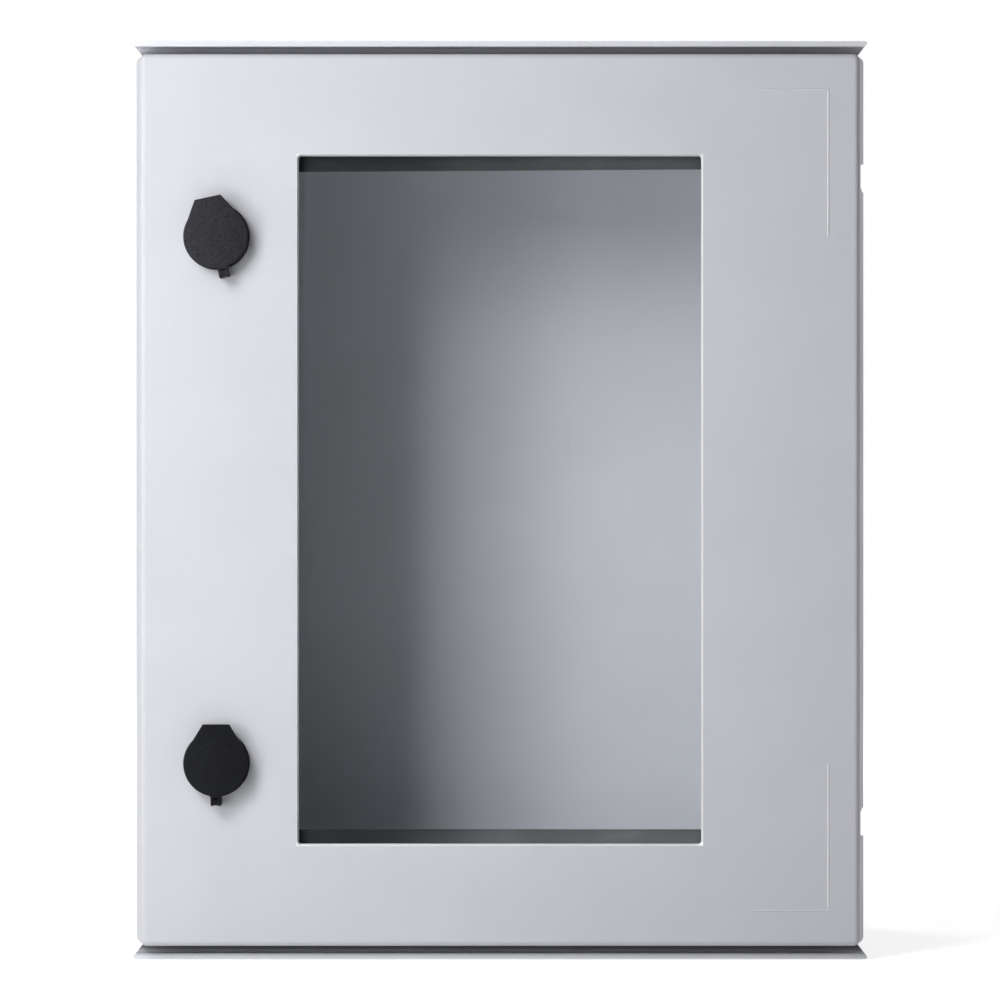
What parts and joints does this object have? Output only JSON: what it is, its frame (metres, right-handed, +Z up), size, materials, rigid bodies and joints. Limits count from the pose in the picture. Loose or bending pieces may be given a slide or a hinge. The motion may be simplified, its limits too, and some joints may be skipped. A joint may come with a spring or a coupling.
{
  "type": "outdoor electrical enclosure",
  "caption": "Wall-mounted moulded enclosure with rain gutters, a glazed hinged door and quarter-turn locks under flip-down dust caps.",
  "frame": {"origin": "centre of the tub's back face, which lies on the wall", "axes": "+Z up, +Y into the wall, +X to the right as seen from the front"},
  "size_m": [0.4, 0.212, 0.5],
  "materials": {
    "grey_grp": "light grey moulded glass-reinforced polyester, satin",
    "glass": "clear safety glass",
    "black_rubber": "black foam rubber",
    "brown_rubber": "dark brown glazing rubber",
    "dark_paint": "dark painted steel strip",
    "zinc_chrome": "chrome-plated die-cast zinc",
    "plated_steel": "zinc-plated steel",
    "brass": "turned brass",
    "black_plastic": "fine-grained black plastic"
  },
  "bodies": {
    "base": {"base_shell": "grey_grp", "plate_inserts": "brass", "keeper_upper": "plated_steel", "keeper_lower": "plated_steel", "keeper_screws": "plated_steel"},
    "door": {"door_panel": "grey_grp", "door_gasket": "black_rubber", "glazing_seal": "brown_rubber", "window_pane": "glass", "glass_clamp_top": "dark_paint", "glass_clamp_bottom": "dark_paint", "glass_clamp_left": "dark_paint", "glass_clamp_right": "dark_paint", "clamp_screws": "plated_steel", "hinge_pin_upper": "plated_steel", "hinge_pin_lower": "plated_steel", "lock_seal_upper": "black_rubber", "lock_housing_upper": "zinc_chrome", "lock_nut_upper": "plated_steel", "lock_seal_lower": "black_rubber", "lock_housing_lower": "zinc_chrome", "lock_nut_lower": "plated_steel"},
    "lock_upper": {"lock_driver_upper": "zinc_chrome", "lock_cam_upper": "plated_steel", "cam_screw_upper": "plated_steel"},
    "cap_ring_upper": {"cap_ring_upper": "black_plastic"},
    "dust_cap_upper": {"dust_cap_upper": "black_plastic"},
    "lock_lower": {"lock_driver_lower": "zinc_chrome", "lock_cam_lower": "plated_steel", "cam_screw_lower": "plated_steel"},
    "cap_ring_lower": {"cap_ring_lower": "black_plastic"},
    "dust_cap_lower": {"dust_cap_lower": "black_plastic"}
  },
  "joints": [
    {"name": "door_hinge", "type": "hinge", "parent": "base", "child": "door", "pos_m": [0.192, -0.176, 0], "axis": [0, 0, 1], "range_deg": [0, 120]},
    {"name": "lock_turn_upper", "type": "hinge", "parent": "door", "child": "lock_upper", "pos_m": [-0.1534, -0.19, 0.1425], "axis": [0, 1, 0], "range_deg": [0, 90]},
    {"name": "cap_swivel_upper", "type": "hinge", "parent": "door", "child": "cap_ring_upper", "pos_m": [-0.1534, -0.204, 0.1425], "axis": [0, 1, 0], "continuous": true},
    {"name": "cap_flip_upper", "type": "hinge", "parent": "cap_ring_upper", "child": "dust_cap_upper", "pos_m": [-0.14914, -0.20975, 0.12245], "axis": [0.9781, 0, 0.2079], "range_deg": [0, 150]},
    {"name": "lock_turn_lower", "type": "hinge", "parent": "door", "child": "lock_lower", "pos_m": [-0.1534, -0.19, -0.1425], "axis": [0, 1, 0], "range_deg": [0, 90]},
    {"name": "cap_swivel_lower", "type": "hinge", "parent": "door", "child": "cap_ring_lower", "pos_m": [-0.1534, -0.204, -0.1425], "axis": [0, 1, 0], "continuous": true},
    {"name": "cap_flip_lower", "type": "hinge", "parent": "cap_ring_lower", "child": "dust_cap_lower", "pos_m": [-0.1534, -0.20975, -0.163], "axis": [1, 0, 0], "range_deg": [0, 150]}
  ]
}
